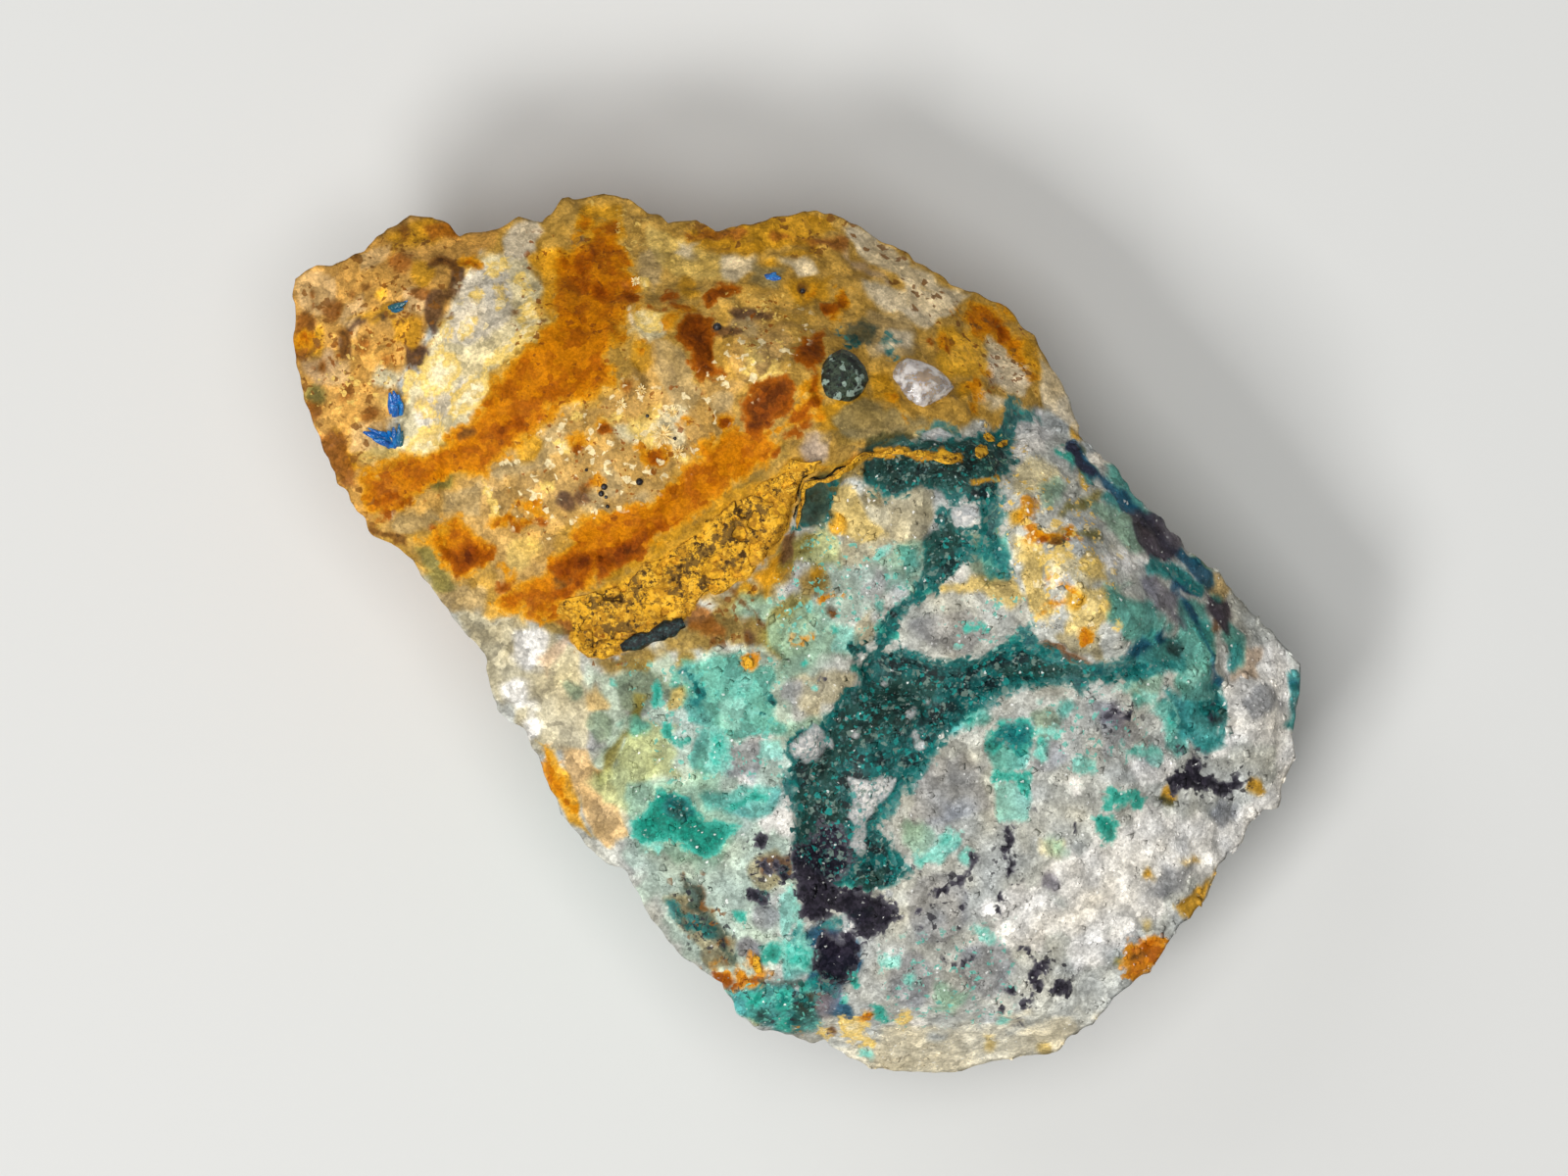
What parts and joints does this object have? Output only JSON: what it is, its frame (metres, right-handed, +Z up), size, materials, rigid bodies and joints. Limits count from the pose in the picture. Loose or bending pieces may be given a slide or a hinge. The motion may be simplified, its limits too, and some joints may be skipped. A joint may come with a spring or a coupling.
{
  "type": "mrazekite mineral specimen",
  "caption": "Broken lump of iron-stained vein quartz with a black-green vein, an ochre crust and small blue bladed crystals, lying on a flat fracture face.",
  "frame": {"origin": "middle of the specimen's box, on the flat fracture face that it rests on", "axes": "+X along the longest side, from the corner with the blue crystals to the east corner; +Y towards the iron-stained upper edge; +Z up, out of the crystal-bearing side"},
  "size_m": [0.0464, 0.0406, 0.0184],
  "materials": {
    "vein_quartz": "sugary broken vein quartz, grey-white, stained orange, rust, green and black",
    "ochre": "dull earthy yellow crust with fine dark pits",
    "mrazekite_blue": "deep blue, glassy, translucent at thin edges",
    "clear_quartz": "clear, glassy, with flat bright faces",
    "green_nodule": "dark green to black, waxy",
    "black_green": "black-green, glossy",
    "cream_crystal": "cream, silky needles"
  },
  "bodies": {
    "root": {"quartz_matrix": "vein_quartz", "ochre_crust": "ochre", "mrazekite_blades_upper": "mrazekite_blue", "mrazekite_blades_lower": "mrazekite_blue", "mrazekite_teal_blade": "mrazekite_blue", "mrazekite_flake": "mrazekite_blue", "clear_quartz_grain": "clear_quartz", "green_nodule": "green_nodule", "black_green_lath": "black_green", "cream_crystal_spray": "cream_crystal"}
  },
  "joints": []
}
